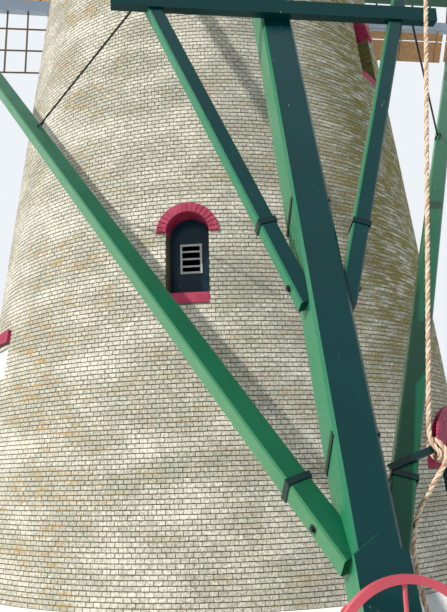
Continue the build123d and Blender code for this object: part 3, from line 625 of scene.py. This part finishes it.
def leaf_planks(name, body, azimuth, side):
    """Upright boards on the face of one door leaf."""
    shape = Shape()
    face = outer_radius(door_spring) - door_recess - leaf_clearance
    inner, outer = leaf_reach
    bottom, top = leaf_span
    count = leaf_planks_count
    width = (outer - inner) / count
    for step in range(count):
        low = inner + step * width + plank_gap
        high = low + width - 2 * plank_gap
        ring = [(low, bottom), (high, bottom), (high, top), (low, top)]
        if side < 0:
            ring = [(-along, z) for along, z in ring][::-1]
        back = [at_azimuth(azimuth, face - 0.002, along, z) for along, z in ring]
        front = [at_azimuth(azimuth, face + 0.004, along, z) for along, z in ring]
        shape.prism(back, front)
    shape.place(name, shutter_blue, body, "shutter_paint")


# Tail

def brace_frame(foot, lean, mirror):
    """Foot, direction and outer face normal of a brace, on the left or mirrored."""
    sign = -1 if mirror else 1
    foot = Vector((foot.x * sign, foot.y, foot.z))
    unit = Vector((lean.x * sign, lean.y, lean.z)).normalized()
    side = (Vector((1, 0, 0)) - unit * unit.x).normalized()
    face = side.cross(unit).normalized()
    return foot, unit, side, face if face.y < 0 else -face


def tail_bolts():
    """Nut on each short brace's outer side and a bolt through each long brace's foot."""
    shape = Shape()
    places = (
        (short_foot, short_lean, short_half, *short_bolt),
        (long_foot, long_lean, long_half, *long_bolt),
    )
    for start, lean, half, along, out in places:
        for mirror in (False, True):
            foot, unit, side, face = brace_frame(start, lean, mirror)
            outward = side if mirror else -side
            shape.bolt(foot + unit * along + face * out + outward * half, outward, brace_bolt_radius)
    shape.place("tail_bolts", black_iron, "cap", "ironwork")


def hangers():
    """Round iron rods from the cross-beam's ends, each with an eye on its brace."""
    shape = Shape()
    for mirror in (True, False):
        sign = -1 if mirror else 1
        back = pole_lean * beam_bottom - pole_foot_reach
        top_z = beam_bottom + beam_height / 3
        top = Vector((sign * (beam_half_length - hanger_inset), back + 0.002, top_z))
        reach = Vector((sign * hanger_reach.x, hanger_reach.y, hanger_reach.z))
        path = [top.lerp(reach, share) for share in np.linspace(0, 0.985, 12)]
        shape.tube(path, hanger_radius, 10)
        unit = (reach - top).normalized()
        side = unit.orthogonal().normalized()
        ring = [
            reach + unit * (eye_radius * cos(turn)) + side * (eye_radius * sin(turn))
            for turn in np.linspace(0, 2 * pi, 20, endpoint=False)
        ]
        shape.tube(ring, eye_wire_radius, 8, closed=True)
    piece = shape.place("hanger_rods_round", black_iron, "cap", "ironwork", smooth=True)
    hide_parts("hanger_rods")


# Brake rope

def rope_spline():
    """Smooth line through the rope's route, as a curve with no thickness."""
    curve = bpy.data.curves.new("brake_rope_line", "CURVE")
    curve.dimensions = "3D"
    curve.resolution_u = 12
    spline = curve.splines.new("NURBS")
    spline.points.add(len(rope_route) - 1)
    for point, place in zip(spline.points, rope_route):
        point.co = (*place, 1.0)
    spline.order_u = 3
    spline.use_endpoint_u = True
    return curve


def even_path(points, spacing):
    """The same line with its points a steady distance apart."""
    points = np.array(points)
    lengths = np.concatenate([[0], np.cumsum(np.linalg.norm(np.diff(points, axis=0), axis=1))])
    marks = np.linspace(0, lengths[-1], int(lengths[-1] / spacing) + 1)
    return np.stack([np.interp(marks, lengths, points[:, axis]) for axis in range(3)], 1), lengths[-1]


def brake_rope():
    line = bpy.data.objects.new("brake_rope_line", rope_spline())
    bpy.context.scene.collection.objects.link(line)
    bpy.context.view_layer.update()
    mesh = bpy.data.meshes.new_from_object(line)
    path, length = even_path([tuple(vertex.co) for vertex in mesh.vertices], 0.012)
    bpy.data.objects.remove(line)
    strand_radius = rope_diameter / 2 / (1 + 2 / sqrt(3)) * 1.08
    lay_radius = rope_diameter / 2 - strand_radius
    shape = Shape()
    side = None
    strands = [[] for _ in range(strand_count)]
    for index, point in enumerate(path):
        point = Vector(point)
        before = Vector(path[max(index - 1, 0)])
        after = Vector(path[min(index + 1, len(path) - 1)])
        unit = (after - before).normalized()
        side = unit.orthogonal() if side is None else side - unit * side.dot(unit)
        side.normalize()
        other = unit.cross(side)
        for number, strand in enumerate(strands):
            turn = 2 * pi * (index * 0.012 / strand_pitch + number / strand_count)
            strand.append(point + (side * cos(turn) + other * sin(turn)) * lay_radius)
    for number, strand in enumerate(strands):
        shape.tube(strand, strand_radius, strand_sides, tone=float(number == 0))
    rope = shape.place("brake_rope_laid", rope_yarn, "cap", "rope", smooth=True)
    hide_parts("brake_rope")


# Cap roof

def roof_surface(name):
    mesh = nodes[name].data
    faces = [tuple(face.vertices) for face in mesh.polygons]
    return BVHTree.FromPolygons([vertex.co.copy() for vertex in mesh.vertices], faces)


def roof_boards(name, side):
    """Lapped boards along one half of the roof, laid on its outer face."""
    surface = roof_surface(name)
    shape = Shape()
    edges = np.linspace(radians(-28), radians(88), board_rows + 1)
    for low_angle, high_angle in zip(edges, edges[1:]):
        rows = []
        for angle, lift in ((low_angle, board_lap), (high_angle, 0.003)):
            row = []
            for y in np.linspace(roof_rear + 0.02, roof_front - 0.03, board_steps):
                way = Vector((side * cos(angle), 0, sin(angle)))
                start = Vector((0, y, deck + roof_ray_height)) + way * 6
                hit = surface.ray_cast(start, -way)
                row.append(None if hit[0] is None or hit[0].x * side < 0 else hit[0] + way * lift)
            rows.append(row)
        for index in range(board_steps - 1):
            corners = (rows[0][index], rows[0][index + 1], rows[1][index + 1], rows[1][index])
            if None in corners:
                continue
            inward = [Vector((-side * cos(low_angle), 0, -sin(low_angle))) * board_lap] * 4
            back = [corner + inner for corner, inner in zip(corners, inward)]
            shape.prism(back, list(corners))
    shape.place(name + "_boards", shingle, "cap", "roof_shingles")


# Camera, light and floor

def make_camera():
    yaw, pitch, roll = camera_yaw, camera_pitch, camera_roll
    forward = Vector((sin(yaw) * cos(pitch), cos(yaw) * cos(pitch), sin(pitch)))
    level = Vector((cos(yaw), -sin(yaw), 0))
    upright = level.cross(forward)
    right = level * cos(roll) + upright * sin(roll)
    up = upright * cos(roll) - level * sin(roll)
    data = bpy.data.cameras.new("camera")
    data.sensor_width = sensor_width
    data.lens = sensor_width * focal_pixels / photo_height
    data.clip_end = 400
    camera = bpy.data.objects.new("camera", data)
    axes = Matrix((right, up, -forward)).transposed()
    camera.matrix_world = Matrix.Translation(camera_place) @ axes.to_4x4()
    bpy.context.scene.collection.objects.link(camera)
    bpy.context.scene.camera = camera


def make_light():
    """Sun from the left, a plain bright surround and a pale background."""
    key = bpy.data.lights.new("key", "SUN")
    key.energy = sun_energy
    key.angle = radians(sun_spread)
    key.color = (1.0, 0.95, 0.87)
    lamp = bpy.data.objects.new("key", key)
    azimuth, height = radians(sun_azimuth), radians(sun_height)
    towards = Vector((sin(azimuth) * cos(height), -cos(azimuth) * cos(height), sin(height)))
    lamp.rotation_mode = "QUATERNION"
    lamp.rotation_quaternion = towards.to_track_quat("Z", "Y")
    bpy.context.scene.collection.objects.link(lamp)
    world = bpy.data.worlds.new("surround")
    world.use_nodes = True
    bpy.context.scene.world = world
    tree = world.node_tree
    light = tree.nodes["Background"]
    light.inputs["Color"].default_value = (0.76, 0.88, 1.0, 1.0)
    light.inputs["Strength"].default_value = 0.5
    shown = tree.nodes.new("ShaderNodeBackground")
    shown.inputs["Color"].default_value = (0.86, 0.90, 0.94, 1.0)
    path = tree.nodes.new("ShaderNodeLightPath")
    seen = tree.nodes.new("ShaderNodeMath")
    seen.operation = "MAXIMUM"
    both = tree.nodes.new("ShaderNodeMath")
    both.operation = "MAXIMUM"
    mix = tree.nodes.new("ShaderNodeMixShader")
    tree.links.new(path.outputs["Is Camera Ray"], seen.inputs[0])
    tree.links.new(path.outputs["Is Glossy Ray"], seen.inputs[1])
    tree.links.new(seen.outputs[0], both.inputs[0])
    tree.links.new(path.outputs["Is Transmission Ray"], both.inputs[1])
    tree.links.new(both.outputs[0], mix.inputs[0])
    tree.links.new(light.outputs[0], mix.inputs[1])
    tree.links.new(shown.outputs[0], mix.inputs[2])
    tree.links.new(mix.outputs[0], tree.nodes["World Output"].inputs["Surface"])


def make_floor():
    size = floor_half
    mesh = bpy.data.meshes.new("floor")
    corners = [(-size, -size, 0), (size, -size, 0), (size, size, 0), (-size, size, 0)]
    mesh.from_pydata(corners, [], [(0, 1, 2, 3)])
    graph = Graph("floor_pale")
    grain = graph.noise(2.0)
    colour = graph.blend(grain, (0.78, 0.78, 0.77, 1.0), (0.82, 0.82, 0.81, 1.0))
    mesh.materials.append(graph.finish(colour, 0.9, grain, 0.001))
    floor = bpy.data.objects.new("floor", mesh)
    bpy.context.scene.collection.objects.link(floor)


bpy.context.scene.view_settings.view_transform = "Standard"
make_camera()
brake_rope()
dress_nodes()
wall_bricks()
arch_bricks()
vent_bars()
leaf_planks("right_leaf_planks", "door_leaf_right", door_azimuth, 1)
leaf_planks("left_leaf_planks", "door_leaf_left", door_azimuth, -1)
leaf_planks("rear_right_planks", "tower", door_azimuth + 180, 1)
leaf_planks("rear_left_planks", "tower", door_azimuth + 180, -1)
tail_bolts()
hangers()
roof_boards("roof_left", -1)
roof_boards("roof_right", 1)
make_light()
make_floor()
